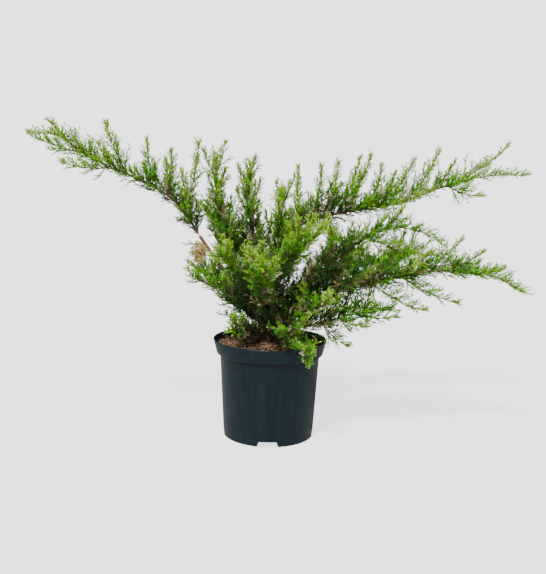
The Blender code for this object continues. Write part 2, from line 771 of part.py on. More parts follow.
def make_foliage(parts):
    lines = frame_lines()
    limbs = limb_lines()
    lowest = min(arm.foot for arm in ARMS)
    highest = max(arm.foot for arm in ARMS)
    for i, arm in enumerate(ARMS):
        name = arm.name + "_foliage"
        mass = Mass(name, Room(arm.name, lines, limbs), np.random.default_rng(SEED + i), parts)
        mass.grow(arm)
        mass.finish(mix(DEEP_GREEN, TIP_GREEN, (arm.foot - lowest) / (highest - lowest)), LEAF_ROUGHNESS)
    tuft = Mass("dead_tuft", Room("dead_tuft", lines, limbs[:0]), np.random.default_rng(SEED), parts)
    tuft.grow_tuft()
    tuft.finish(*DEAD_LOOK)


def main():
    clear_scene()
    parts = new_collection(PLANT)
    cutters = new_collection("cutters")
    make_pot(parts, cutters)
    make_soil(parts, cutters, np.random.default_rng(SEED))
    make_stem(parts)
    cutter = stem_cutter(cutters)
    for arm in ARMS:
        make_bough(arm, cutter, parts)
    make_foliage(parts)


main()
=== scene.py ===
"""Looks of the potted juniper: foliage, bark, pot and potting mix, finer than the solids they replace.

Metres, +Z up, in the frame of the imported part.
"""

import json
import math
from typing import NamedTuple

import bmesh
import bpy
import numpy as np
from mathutils import Matrix, Vector

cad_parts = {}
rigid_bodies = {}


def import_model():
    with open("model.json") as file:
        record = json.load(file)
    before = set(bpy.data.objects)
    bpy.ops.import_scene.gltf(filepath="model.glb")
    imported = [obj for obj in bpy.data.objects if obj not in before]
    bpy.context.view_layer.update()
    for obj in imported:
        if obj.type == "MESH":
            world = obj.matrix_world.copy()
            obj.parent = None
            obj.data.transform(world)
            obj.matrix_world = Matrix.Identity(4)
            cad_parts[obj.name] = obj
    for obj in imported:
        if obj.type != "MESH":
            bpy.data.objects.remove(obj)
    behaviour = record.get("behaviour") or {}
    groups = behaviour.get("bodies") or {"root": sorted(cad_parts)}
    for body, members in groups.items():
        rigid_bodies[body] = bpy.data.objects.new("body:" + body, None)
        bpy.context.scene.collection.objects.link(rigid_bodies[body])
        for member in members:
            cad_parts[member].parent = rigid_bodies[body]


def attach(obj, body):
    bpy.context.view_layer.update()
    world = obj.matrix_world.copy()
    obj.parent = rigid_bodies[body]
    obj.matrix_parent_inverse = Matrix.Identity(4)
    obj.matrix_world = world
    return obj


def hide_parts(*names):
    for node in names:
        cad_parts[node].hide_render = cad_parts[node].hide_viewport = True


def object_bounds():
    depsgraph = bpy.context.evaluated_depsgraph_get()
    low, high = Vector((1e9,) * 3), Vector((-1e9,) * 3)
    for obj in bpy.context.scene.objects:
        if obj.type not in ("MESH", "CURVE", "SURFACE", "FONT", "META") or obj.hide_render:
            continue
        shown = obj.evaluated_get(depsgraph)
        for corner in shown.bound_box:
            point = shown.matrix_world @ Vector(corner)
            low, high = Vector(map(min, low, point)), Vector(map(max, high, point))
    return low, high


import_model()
PACKED_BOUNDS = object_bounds()

# Pot, as in the part's source but with finer steps
POT_HEIGHT = 0.198
RIM_RADIUS = 0.115
BAND_FOOT_RADIUS = 0.1085
BAND_DEPTH = 0.030
BAND_ROUND = 0.005
BODY_TOP_RADIUS = 0.1008
BASE_RADIUS = 0.0914
WALL = 0.002
CHANNEL_COUNT = 4
CHANNEL_LENGTH = 0.036
CHANNEL_FOOT_WIDTH = 0.042
CHANNEL_ROOF_WIDTH = 0.034
CHANNEL_HEIGHT = 0.010
POT_STEPS = 128
ROUND_ARC_STEPS = 8
LIP_ROUND = 0.0012
MERGE_DISTANCE = 0.00001
SHARP_ANGLE = math.radians(32)

# Potting mix, and what lies loose on it
GAP = 0.0003
SOIL_EDGE_HEIGHT = 0.184
SOIL_HEIGHT = 0.190
SOIL_FLAT_RADIUS = 0.026
SOIL_FIRST_RADIUS = 0.0008      # of its innermost ring
SOIL_ROWS = 34
SOIL_GRAIN = 0.0011
LOOSE_MARGIN = 0.008            # from the pot's side
LOOSE_FROM = 0.03               # share of the surface that is left bare round the stem
CHIP_COUNT = 420
CHIP_SIZE = (0.0085, 0.0050, 0.0026)
CHIP_SCALES = (0.45, 1.7)
CHIP_CORNERS = (0.65, 1.25)     # how far each corner lies out, as a multiple
CHIP_TILT = 0.25
CHIP_LIFT = 0.0012
LITTER_COUNT = 1500
LITTER_LENGTH = (0.004, 0.010)
LITTER_WIDTH = 0.0010
LITTER_TILT = 0.18
LITTER_LIFT = (0.0015, 0.0035)

# Stem and limbs
STEM_FOOT = np.array([-0.008, 0.0, SOIL_HEIGHT + GAP])
STEM_LEAN = np.array([-0.06, 0.03, 0.0])
STEM_HEIGHT = 0.088
STEM_HEIGHTS = (0.0, 0.010, 0.030, 0.060, STEM_HEIGHT)
STEM_RADII = (0.0195, 0.0155, 0.0135, 0.0108, 0.0085)
PATH_STEP = 0.010
BOUGH_TAPER = 0.62
LEADER_SAMPLES = 8
LEADER_BEND = 12.0              # degrees that a leader's rise gains on either side of its mean
BARK_STEP = 0.0022
STEM_SIDES = 26
BOUGH_SIDES = 14
AXIS_SIDES = 6
AXIS_STEP = 0.008
AXIS_TIP_RADIUS = 0.0007
LEADER_RADII = (0.0015, 0.0006)
LIMB_END = 0.02                 # size of a limb's first and last ring, as a share
FIRST_SIDE = (0.31, 0.95, 0.05)     # a direction that no limb starts in
BARK_RIDGES = (3, 5, 9)
BARK_DEPTH = 0.07
BARK_GRAIN = 0.035
BARK_WIND = 22.0

# Guards for rows of directions that have no length, or point straight up
LEAST_NORM = 1e-9
SIDE_OF_UPRIGHT = np.array([1e-6, 0.0, 0.0])

# Dead tuft that hangs from the left limb
TUFT_ARM = "left_arm"
TUFT_PLACE = 0.197
TUFT_HEADING = 236.0
TUFT_RISE = -58.0
TUFT_LENGTH = 0.034
TUFT_RADII = (0.0013, 0.0007)
TUFT_REACH = 0.036
TUFT_SHOOTS = 6.5
TUFT_LIGHT = (0.1, 0.2)

# Growth. Numbers of shoots are multiples of one for each spacing along an axis
SEED = 20
GOLDEN_TURN = math.radians(137.5)
SHOOT_SPACING = 0.0056
SHOOTS_TOGETHER = {1: 1.35, 2: 1.5}     # by how many sprays an arm of the solids has together
LEADER_SHOOTS = 1.4
LEADER_REACH = 0.042
FULLNESS = 1.25                 # length of an arm's side shoots, as a multiple of its reach

# Upright side branches that fill the dense part of a mass
PLUME_SPACING = 0.0235
PLUME_PLACES = (0.2, 0.8)       # where in its own stretch of the arm each may stand
PLUME_LENGTH = 1.7              # as a multiple of the arm's reach
PLUME_SHORTENING = 0.55
PLUME_SPREAD = math.radians(40)
PLUME_LIFT = 0.55
PLUME_BEND = 0.18
PLUME_REACH = 0.036
PLUME_PART = 0.40               # of the foliage on an arm that is mostly leaders
PLUME_SHOOTS = 1.1
# Painted light: plumes grow lighter by this much towards their tips
PLUME_LIGHT = 0.40

# Short shaded shoots on the limbs inside the plant, where the arms are bare further out
INNER_PART = {1: (0.12, 0.50), 2: (0.20, 1.0)}      # where they grow, as shares of the bare limb
INNER_REACH = 0.052
INNER_SHOOTS = 2.0
# Painted shade: these inner shoots take the darkest greens
INNER_LIGHT = (-0.30, 0.10)

# Side shoots
SHOOT_SPREAD = (41.0, 9.0)      # degrees away from the axis, mean and deviation
SHOOT_SIZES = (0.60, 1.15)      # least and most, as a multiple
SHOOT_TURN_VARIES = 0.4
SHOOT_LIFT = 0.30
SHOOT_BEND = (0.10, 0.10)       # mean and deviation
SHOOT_SWAY = 0.07
SHOOT_RADII = (0.0009, 0.0005)  # at its root and its tip
SHOOT_SAMPLES = 4
TWIG_SIDES = 3
TIP_SHARE = 0.32                # length of the shoots at an axis's tip, as a share
TIP_NARROWING = 0.50
TIP_SHOOTS = 3

# Shootlets on the side shoots
SHOOTLET_SPACING = 0.0048
SHOOTLET_START = 0.10
SHOOTLET_SPREAD = (36.0, 8.0)   # degrees, mean and deviation
SHOOTLET_ROLL = 0.75
SHOOTLET_LIFT = 0.10
SHOOTLET_LENGTHS = (0.019, 0.008)       # at the root and the tip of the shoot
SHOOTLET_SIZES = (0.60, 1.20)
SHOOTLET_FULL_AT = 0.032        # length of a shoot whose shootlets have their full length
SHOOTLET_LEAST = 0.45
SHOOTLET_BEND = 0.08
SHOOTLET_RADII = (0.0005, 0.0003)
SHOOTLET_SAMPLES = 2
PLACE_VARIES = (0.25, 0.75)     # where in its own stretch each shootlet or needle may stand

# Needles on both
NEEDLE_SPACING = 0.0023
SHOOT_NEEDLE_SPACING = 0.0025
NEEDLE_LENGTH = (0.0042, 0.0068)
NEEDLE_WIDTH = 0.0017
NEEDLE_WIDEST = 0.42            # share of its length
NEEDLE_FOLD = 0.25
NEEDLE_SPREAD = (38.0, 9.0)     # degrees, mean and deviation
NEEDLE_TURN_VARIES = 0.25
NEEDLE_NARROWING = 0.5
NEEDLE_SHORTENING = 0.3
NEEDLE_CORNERS = 4
NEEDLE_HALVES = ((0, 1, 2), (0, 2, 3))      # corners of its two faces
PIECE_NEEDLES = 90000

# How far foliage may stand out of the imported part, and how near it may come to the pot
POT_CLEARANCE = 0.002
REACH_SHARE = 0.025
REACH_SPARE = 0.007
ROOM_SHARES = (0.3, 0.65, 1.0)  # of a shoot's length, where it is tested

# Light, from 0 deep inside the plant to 1 at its outer tips, sets a shoot's green: this is painted light
# and shade. Shoots deep inside, low down and on the inner limbs get darker greens as painted shade, and
# shoots high up and at the outer tips get lighter greens as painted light. The outer tips' lime is partly
# the young needles' own colour and partly painted light
ARM_LIGHT = (0.05, 0.78)
LEADER_LIGHT = (0.52, 0.92)
HEIGHT_SPAN = (0.20, 0.58)
# Painted light and shade: shoots higher in the plant get a lighter green, lower ones a darker green
HEIGHT_LIGHT = 0.26
ALONG_LIGHT = 0.22
LIGHT_VARIES = 0.10
NEEDLE_LIGHT_VARIES = 0.04
GREEN_STEPS = (0.22, 0.42, 0.62, 0.84)
# Needles grow lighter towards a shoot's tip: partly the young needles' own colour, partly painted light
TIP_LIGHT = 0.16
TIP_LIGHT_FROM = 0.4
CREAM_SHARE = 0.075
CREAM_FLECKS = 0.03
GREEN_FLECKS = 0.30             # share of the shootlets on a cream shoot
DEAD_SHARE = 0.50
DEAD_BELOW = 0.45
LIVE, CREAM, DEAD, STRAW = 0, 5, 6, 7       # a live shoot's needles take one of the first five colours
SHOOTLET_GREEN = 2

# Colours and finishes
# The first five colours, the live greens, are steps from painted shade deep inside the plant to painted
# light at the outer tips, where the lime is partly the young needles' own colour; cream white, dry brown
# and straw are the needles' own colours
NEEDLE_COLOURS = (
    ("shaded_green", (0.030, 0.110, 0.030)),
    ("deep_green", (0.042, 0.190, 0.012)),
    ("mid_green", (0.110, 0.400, 0.008)),
    ("fresh_green", (0.230, 0.620, 0.010)),
    ("lime_green", (0.470, 0.800, 0.035)),
    ("cream_white", (0.880, 0.850, 0.560)),
    ("dry_brown", (0.420, 0.300, 0.170)),
    ("straw", (0.740, 0.620, 0.230)),
)
NEEDLE_ROUGHNESS = 0.55
TWIG_COLOUR = (0.185, 0.095, 0.045)
TWIG_ROUGHNESS = 0.8
CHIP_COLOURS = ((0.130, 0.062, 0.030), (0.210, 0.105, 0.050), (0.060, 0.030, 0.018))
CHIP_ROUGHNESS = 0.85
LITTER_COLOURS = ((0.480, 0.330, 0.170), (0.620, 0.500, 0.290))
LITTER_ROUGHNESS = 0.8
PLASTIC = dict(dark=(0.002, 0.011, 0.016), light=(0.004, 0.017, 0.023), roughness=0.42,
               scale=90.0, bump=0.12, stretch=(1.0, 1.0, 0.25))
PLASTIC_SPECULAR = 0.22
POTTING_MIX = dict(dark=(0.028, 0.014, 0.008), light=(0.120, 0.062, 0.030), roughness=0.95,
                   scale=160.0, bump=0.8)
LIMB_BARK = dict(dark=(0.090, 0.040, 0.022), light=(0.300, 0.150, 0.075), roughness=0.85,
                 scale=220.0, bump=0.7)
STEM_BARK = dict(dark=(0.035, 0.018, 0.011), light=(0.140, 0.075, 0.040), roughness=0.9,
                 scale=180.0, bump=0.8)
GRAIN_DETAIL = 6.0
GRAIN_EDGES = (0.32, 0.68)      # of the noise, where the dark colour ends and the light one starts
GRAIN_HEIGHT = 0.001

# Camera, fitted to the pot's rim and base in the photo
CAMERA_PLACE = (0.0033, -1.5314, 0.5368)
CAMERA_PITCH = 0.1515
CAMERA_ROLL = 0.0242
CAMERA_LENS = 48.34

# Floor, suns and sky
FLOOR_SIZE = 120.0
FLOOR_COLOUR = (0.60, 0.60, 0.60)
FLOOR_ROUGHNESS = 0.9
FLOOR_DROP = 0.0005
FLOOR_GLOW = 1.85               # seen by the camera alone
KEY_SUN = ((-0.45, -1.0, 1.25), 4.6, 9.0)       # where it shines from, strength and angle
FILL_SUN = ((1.0, -0.8, 0.9), 0.5, 40.0)
SKY_LIGHT = 0.32
SKY_LOOK = 2.75                 # its strength as the camera sees it
WHITE = (1.0, 1.0, 1.0, 1.0)


class Leader(NamedTuple):
    """A main side shoot: its place as a share of the arm, then degrees above level and sideways."""
    along: float
    length: float
    rise: float
    turn: float


class Arm(NamedTuple):
    """A limb with the foliage at its end. Angles are in degrees, spaced evenly from root to tip."""
    name: str
    foot: float                 # height on the stem
    heading: tuple              # counter-clockwise from +X
    rise: tuple                 # above level
    length: float
    bare: float                 # length without foliage
    girth: float                # radius at the root
    reach: float                # length of its longest twigs
    heart: float = 0.0          # radius of its dense heart
    heart_end: float = 0.80     # where the heart ends, as a share of the foliage
    together: int = 2           # sprays at each place along the stalk
    leaders: tuple = ()


ARMS = (
    Arm("left_arm", 0.054, (203, 196, 173), (50, 44, 54, 58, 28, 20, 39, -11), 0.589, 0.215, 0.0050,
        reach=0.040, together=1, leaders=(
            Leader(0.40, 0.110, 62, 54), Leader(0.46, 0.128, 75, -156), Leader(0.52, 0.080, 82, 86),
            Leader(0.57, 0.087, 74, -38), Leader(0.67, 0.094, 65, -8), Leader(0.71, 0.053, 50, 29),
            Leader(0.73, 0.081, 3, 16), Leader(0.76, 0.122, 35, -15), Leader(0.82, 0.102, 18, 4))),
    Arm("right_upper", 0.064, (102, -6, 2, -2), (56, 88, 22, 14, 11, 23, 13, -3), 0.676, 0.200, 0.0048,
        reach=0.042, together=1, leaders=(
            Leader(0.31, 0.116, 74, 97), Leader(0.34, 0.109, 77, 5), Leader(0.35, 0.094, -23, -38),
            Leader(0.41, 0.107, 72, 69), Leader(0.43, 0.118, 68, 15), Leader(0.44, 0.124, 62, -16),
            Leader(0.48, 0.160, 16, -18), Leader(0.53, 0.086, 68, 41), Leader(0.57, 0.103, 56, -20),
            Leader(0.64, 0.117, 54, 15), Leader(0.72, 0.069, 51, -1), Leader(0.76, 0.153, 32, 7),
            Leader(0.77, 0.070, -16, -27))),
    Arm("right_mid", 0.060, (-33, -14, 8), (35, 44, 35, 43, -1, -34), 0.408, 0.110, 0.0045,
        reach=0.044, heart=0.016, heart_end=0.36, leaders=(
            Leader(0.49, 0.077, 64, -127), Leader(0.56, 0.080, 42, -8), Leader(0.64, 0.143, -14, 7),
            Leader(0.74, 0.043, 49, 3))),
    Arm("right_low", 0.044, (-31, -7, 5), (37, 23, 15, 13, -3, -35), 0.524, 0.080, 0.0048,
        reach=0.060, heart=0.024, heart_end=0.46, leaders=(
            Leader(0.45, 0.110, -24, -12), Leader(0.51, 0.098, 34, -22), Leader(0.56, 0.110, -23, -11),
            Leader(0.60, 0.111, 33, 16), Leader(0.69, 0.087, 25, -12), Leader(0.73, 0.113, 0, 15))),
    Arm("left_low", 0.026, (222, 193), (41, 38, 29), 0.180, 0.045, 0.0035, reach=0.050, heart=0.020),
    Arm("left_upper", 0.066, (186, 196, 170), (58, 59, 78, 90), 0.312, 0.070, 0.0040,
        reach=0.060, heart=0.024),
    Arm("crown_left", 0.0883, (156, 131), (90, 68, 80, 91), 0.252, 0.050, 0.0036,
        reach=0.060, heart=0.024),
    Arm("crown_mid", 0.068, (-50, -60, -40), (60, 76, 84, 88), 0.235, 0.060, 0.0036,
        reach=0.058, heart=0.024),
    Arm("crown_front", 0.060, (-84, -38), (48, 42, 38), 0.255, 0.070, 0.0038, reach=0.060, heart=0.024),
    Arm("right_dense", 0.032, (-4, 3, 2), (26, 26, 32, 28), 0.330, 0.060, 0.0045,
        reach=0.070, heart=0.028),
    Arm("front_low", 0.012, (-76, -48), (44, 8, -14, -50), 0.180, 0.050, 0.0035, reach=0.044),
    Arm("right_bottom", 0.014, (-26, -8), (20, 16, 20, 2), 0.255, 0.055, 0.0036, reach=0.056, heart=0.024,
        leaders=(Leader(0.48, 0.067, -35, -16), Leader(0.61, 0.063, -7, -24), Leader(0.74, 0.078, -1, -2))),
    Arm("front_right", 0.022, (-48, -40), (30, 24, 26), 0.170, 0.045, 0.0034, reach=0.052, heart=0.022),
    Arm("base_left", 0.012, (232, 224), (30, 12, 0), 0.100, 0.040, 0.0030, reach=0.044),
    Arm("back_left_low", 0.030, (142, 145), (34, 30, 20), 0.200, 0.060, 0.0038, reach=0.056, heart=0.022),
    Arm("back_left", 0.052, (128, 116), (46, 46, 32, 16), 0.330, 0.080, 0.0045, reach=0.062, heart=0.026),
    Arm("back", 0.038, (82, 72), (42, 38, 20, 0), 0.360, 0.080, 0.0045, reach=0.062, heart=0.028),
    Arm("back_right", 0.026, (46, 42), (34, 26, 14, -4), 0.360, 0.080, 0.0045, reach=0.062, heart=0.026),
    Arm("crown_right", 0.050, (62, 44), (52, 60, 70), 0.230, 0.060, 0.0038, reach=0.058, heart=0.024),
    Arm("front", 0.030, (-96, -88), (42, 38, 22), 0.250, 0.060, 0.0042, reach=0.058, heart=0.024),
    Arm("front_left", 0.044, (248, 238), (46, 42, 28), 0.230, 0.060, 0.0040, reach=0.056, heart=0.022),
)


# Scene helpers

def new_collection(name):
    collection = bpy.data.collections.new(name)
    bpy.context.scene.collection.children.link(collection)
    return collection


def add_object(name, mesh, collection=None):
    obj = bpy.data.objects.new(name, mesh)
    (collection or bpy.context.scene.collection).objects.link(obj)
    return obj


def plain_material(name, colour, roughness):
    material = bpy.data.materials.new(name)
    material.use_nodes = True
    shader = material.node_tree.nodes["Principled BSDF"]
    shader.inputs["Base Color"].default_value = (*colour, 1.0)
    shader.inputs["Roughness"].default_value = roughness
    return material


def numbered_materials(name, colours, roughness):
    return [plain_material(f"{name}_{i}", colour, roughness) for i, colour in enumerate(colours)]


def grained_material(name, dark, light, roughness, scale, bump, stretch=(1.0, 1.0, 1.0)):
    """A surface whose colour and height follow one noise."""
    material = plain_material(name, light, roughness)
    nodes, links = material.node_tree.nodes, material.node_tree.links
    shader = nodes["Principled BSDF"]
    place = nodes.new("ShaderNodeTexCoord")
    mapping = nodes.new("ShaderNodeMapping")
    mapping.inputs["Scale"].default_value = stretch
    noise = nodes.new("ShaderNodeTexNoise")
    noise.inputs["Scale"].default_value = scale
    noise.inputs["Detail"].default_value = GRAIN_DETAIL
    ramp = nodes.new("ShaderNodeValToRGB")
    for element, position, colour in zip(ramp.color_ramp.elements, GRAIN_EDGES, (dark, light)):
        element.position = position
        element.color = (*colour, 1.0)
    height = nodes.new("ShaderNodeBump")
    height.inputs["Strength"].default_value = bump
    height.inputs["Distance"].default_value = GRAIN_HEIGHT
    links.new(place.outputs["Object"], mapping.inputs["Vector"])
    links.new(mapping.outputs["Vector"], noise.inputs["Vector"])
    links.new(noise.outputs["Fac"], ramp.inputs["Fac"])
    links.new(ramp.outputs["Color"], shader.inputs["Base Color"])
    links.new(noise.outputs["Fac"], height.inputs["Height"])
    links.new(height.outputs["Normal"], shader.inputs["Normal"])
    return material


def mesh_of_arrays(name, corners, faces, materials, slots=None):
    """A mesh from arrays of corners, of faces with equally many corners, and of each face's material."""
    mesh = bpy.data.meshes.new(name)
    mesh.vertices.add(len(corners))
    mesh.vertices.foreach_set("co", np.ascontiguousarray(corners, dtype=np.float32).ravel())
    mesh.loops.add(faces.size)
    mesh.loops.foreach_set("vertex_index", np.ascontiguousarray(faces, dtype=np.int32).ravel())
    mesh.polygons.add(len(faces))
    mesh.polygons.foreach_set("loop_start", np.arange(0, faces.size, faces.shape[1], dtype=np.int32))
    for material in materials:
        mesh.materials.append(material)
    if slots is not None:
        mesh.polygons.foreach_set("material_index", np.ascontiguousarray(slots, dtype=np.int32))
    mesh.update(calc_edges=True)
    return mesh


def join_rows(rows):
    """Joins (corners, faces) pairs into one pair."""
    corners, faces, first = [], [], 0
    for points, polygons in rows:
        corners.append(points)
        faces.append(polygons + first)
        first += len(points)
    return np.concatenate(corners), np.concatenate(faces)


def grid_faces(rows, sides):
    """Faces over rows of equally many corners, each row closed on itself."""
    first = np.arange(rows - 1)[:, None] * sides
    k = np.arange(sides)[None, :]
    after = (k + 1) % sides
    quads = [first + k, first + sides + k, first + sides + after, first + after]
    return np.stack(quads, axis=-1).reshape(-1, 4)


def rings(across, over, angles):
    """For each row, directions at the given angles round it."""
    cosines = np.cos(angles)[None, :, None]
    sines = np.sin(angles)[None, :, None]
    return cosines * across[:, None, :] + sines * over[:, None, :]


def finish_piece(obj, *nodes):
    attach(obj, "root")
    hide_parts(*nodes)


def evaluated_mesh(obj):
    bpy.context.view_layer.update()
    depsgraph = bpy.context.evaluated_depsgraph_get()
    return bpy.data.meshes.new_from_object(obj.evaluated_get(depsgraph))


# Pot

def band_arc(inset):
    """The rounded lower edge of the rim band, offset inwards."""
    centre_radius = BAND_FOOT_RADIUS - BAND_ROUND
    centre_height = POT_HEIGHT - BAND_DEPTH + BAND_ROUND
    angles = np.linspace(0.0, -0.5 * math.pi, ROUND_ARC_STEPS + 1)
    size = BAND_ROUND - inset
    return [(centre_radius + size * math.cos(a), centre_height + size * math.sin(a)) for a in angles]


def wall_line(inset, bottom):
    """The pot's side below its rim, offset inwards, down to the axis at the given height."""
    shelf_height = POT_HEIGHT - BAND_DEPTH + inset
    body = [(BODY_TOP_RADIUS - inset, shelf_height), (BASE_RADIUS - inset, bottom), (0.0, bottom)]
    return band_arc(inset) + body


def band_radius(height):
    """Outer radius of the rim band at a height."""
    foot_height = POT_HEIGHT - BAND_DEPTH + BAND_ROUND
    return float(np.interp(height, (foot_height, POT_HEIGHT), (BAND_FOOT_RADIUS, RIM_RADIUS)))


def turned(name, profile, collection):
    """Turn a profile, given from its top on the axis down its outer side, round the Z axis."""
    mesh = bpy.data.meshes.new(name)
    edges = [(i, i + 1) for i in range(len(profile) - 1)]
    mesh.from_pydata([(radius, 0.0, height) for radius, height in profile], edges, [])
    obj = add_object(name, mesh, collection)
    screw = obj.modifiers.new("turn", "SCREW")
    screw.steps = POT_STEPS
    screw.render_steps = POT_STEPS
    screw.use_merge_vertices = True
    screw.merge_threshold = MERGE_DISTANCE
    screw.use_smooth_shade = False
    return obj


def cut_away(obj, cutter):
    modifier = obj.modifiers.new("cut_" + cutter.name, "BOOLEAN")
    modifier.operation = "DIFFERENCE"
    modifier.solver = "EXACT"
    modifier.object = cutter


def channel(name, turn, margin, collection):
    """A wedge for one drain channel, which runs in from the edge of the base."""
    shape = bmesh.new()
    bmesh.ops.create_cube(shape, size=1.0)
    inner = BASE_RADIUS - CHANNEL_LENGTH - margin
    outer = BASE_RADIUS + WALL + margin
    top = CHANNEL_HEIGHT + margin
    slope = 0.5 * (CHANNEL_FOOT_WIDTH - CHANNEL_ROOF_WIDTH) / CHANNEL_HEIGHT
    for vertex in shape.verts:
        height = top if vertex.co.z > 0 else -WALL
        half_width = 0.5 * CHANNEL_FOOT_WIDTH + margin - slope * (height - margin)
        side = math.copysign(half_width, vertex.co.y)
        vertex.co = Vector((inner if vertex.co.x < 0 else outer, side, height))
    mesh = bpy.data.meshes.new(name)
    shape.to_mesh(mesh)
    shape.free()
    wedge = add_object(name, mesh, collection)
    wedge.rotation_euler.z = turn
    return wedge


def lip():
    """The rim's rounded top edge, from its top down its outer side."""
    angles = np.linspace(0.5 * math.pi, 0.0, ROUND_ARC_STEPS // 2 + 1)
    centre = (RIM_RADIUS - LIP_ROUND, POT_HEIGHT - LIP_ROUND)
    return [(centre[0] + LIP_ROUND * math.cos(a), centre[1] + LIP_ROUND * math.sin(a)) for a in angles]


def make_pot():
    bench = new_collection("bench")
    pot = turned("pot_body", [(0.0, POT_HEIGHT)] + lip() + wall_line(0.0, 0.0), bench)
    above = POT_HEIGHT + WALL
    rim_inside = [(0.0, above), (RIM_RADIUS - WALL, above), (RIM_RADIUS - WALL, POT_HEIGHT)]
    inside = turned("pot_inside", rim_inside + wall_line(WALL, WALL), bench)
    turns = [2 * math.pi * i / CHANNEL_COUNT for i in range(CHANNEL_COUNT)]
    for i, turn in enumerate(turns):
        cut_away(inside, channel(f"channel_wall_{i}", turn, WALL, bench))
    cut_away(pot, inside)
    for i, turn in enumerate(turns):
        cut_away(pot, channel(f"channel_{i}", turn, 0.0, bench))
    mesh = evaluated_mesh(pot)
    for obj in list(bench.objects):
        bpy.data.objects.remove(obj, do_unlink=True)
    bpy.data.collections.remove(bench)
    mesh.shade_smooth()
    mesh.set_sharp_from_angle(angle=SHARP_ANGLE)
    mesh.materials.clear()
    plastic = grained_material("pot_plastic", **PLASTIC)
    plastic.node_tree.nodes["Principled BSDF"].inputs["Specular IOR Level"].default_value = PLASTIC_SPECULAR
    mesh.materials.append(plastic)
    finish_piece(add_object("pot_wall", mesh), "pot")


# Potting mix with bark chips and fallen needles

def soil_heights(distances):
    edge = band_radius(SOIL_EDGE_HEIGHT)
    share = np.clip((distances - SOIL_FLAT_RADIUS) / (edge - SOIL_FLAT_RADIUS), 0.0, 1.0)
    return SOIL_HEIGHT + (SOIL_EDGE_HEIGHT - SOIL_HEIGHT) * share


def make_soil(rng):
    edge = band_radius(SOIL_EDGE_HEIGHT) - WALL - GAP
    top = np.linspace(SOIL_FIRST_RADIUS, edge, SOIL_ROWS)
    below = np.array(wall_line(WALL + GAP, CHANNEL_HEIGHT + 2 * WALL))
    radii = np.concatenate([top, below[:-1, 0], [SOIL_FIRST_RADIUS]])
    heights = np.concatenate([soil_heights(top), below[:, 1]])
    angles = np.linspace(0, 2 * math.pi, POT_STEPS, endpoint=False)
    grid = np.stack([radii[:, None] * np.cos(angles), radii[:, None] * np.sin(angles),
                     np.repeat(heights[:, None], POT_STEPS, axis=1)], axis=2)
    grid[:SOIL_ROWS, :, 2] += rng.normal(0.0, SOIL_GRAIN, (SOIL_ROWS, POT_STEPS))
    material = grained_material("potting_mix", **POTTING_MIX)
    faces = grid_faces(len(radii), POT_STEPS)
    mesh = mesh_of_arrays("potting_mix", grid.reshape(-1, 3), faces, [material])
    finish_piece(add_object("potting_mix", mesh), "soil")


def places_on_soil(count, rng):
    distance = (band_radius(SOIL_EDGE_HEIGHT) - LOOSE_MARGIN) * np.sqrt(rng.uniform(LOOSE_FROM, 1.0, count))
    turn = rng.uniform(0.0, 2 * math.pi, count)
    return np.stack([distance * np.cos(turn), distance * np.sin(turn), soil_heights(distance)], axis=1)


def nearly_level(tilt, count, rng):
    """Directions all round, a little above or below level."""
    turn = rng.uniform(0.0, 2 * math.pi, count)
    return unit_rows(np.stack([np.cos(turn), np.sin(turn), rng.normal(0, tilt, count)], axis=1))


def make_chips(rng):
    """Flat angular bark chips that lie at random tilts on the potting mix."""
    spots = places_on_soil(CHIP_COUNT, rng)
    ahead = nearly_level(CHIP_TILT, CHIP_COUNT, rng)
    across, over = cross_rows(ahead)
    halves = (-0.5, 0.5)
    box = np.array([(x, y, z) for x in halves for y in halves for z in halves])
    size = np.array(CHIP_SIZE) * rng.uniform(*CHIP_SCALES, (CHIP_COUNT, 1))
    local = box[None] * rng.uniform(*CHIP_CORNERS, (CHIP_COUNT, *box.shape)) * size[:, None, :]
    axes = np.stack([ahead, across, over], axis=1)
    corners = spots[:, None, :] + np.einsum("nki,nij->nkj", local, axes)
    corners[:, :, 2] += CHIP_LIFT
    sides = np.array([(0, 1, 3, 2), (4, 6, 7, 5), (0, 4, 5, 1), (2, 3, 7, 6), (0, 2, 6, 4), (1, 5, 7, 3)])
    faces = (np.arange(CHIP_COUNT)[:, None, None] * len(box) + sides).reshape(-1, 4)
    materials = numbered_materials("bark_chip", CHIP_COLOURS, CHIP_ROUGHNESS)
    slots = np.repeat(rng.integers(0, len(CHIP_COLOURS), CHIP_COUNT), len(sides))
    mesh = mesh_of_arrays("bark_chips", corners.reshape(-1, 3), faces, materials, slots)
    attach(add_object("bark_chips", mesh), "root")


def make_litter(rng):
    """Fallen dry needles on the potting mix."""
    spots = places_on_soil(LITTER_COUNT, rng)
    spots[:, 2] += rng.uniform(*LITTER_LIFT, LITTER_COUNT)
    ahead = nearly_level(LITTER_TILT, LITTER_COUNT, rng)
    up = np.tile((0.0, 0.0, 1.0), (LITTER_COUNT, 1))
    corners = needle_corners(spots, ahead, up, rng.uniform(*LITTER_LENGTH, LITTER_COUNT), LITTER_WIDTH)
    materials = numbered_materials("fallen_needle", LITTER_COLOURS, LITTER_ROUGHNESS)
    slots = np.repeat(rng.integers(0, len(LITTER_COLOURS), LITTER_COUNT), len(NEEDLE_HALVES))
    mesh = mesh_of_arrays("fallen_needles", corners, needle_faces(LITTER_COUNT), materials, slots)
    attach(add_object("fallen_needles", mesh), "root")


# Paths of stem, arms and leaders, as in the part's source

def stem_point(height):
    """The stem stands upright on the potting mix, and leans above its flare."""
    leaning = max(height - STEM_HEIGHTS[1], 0.0)
    return STEM_FOOT + np.array([0.0, 0.0, height]) + STEM_LEAN * leaning


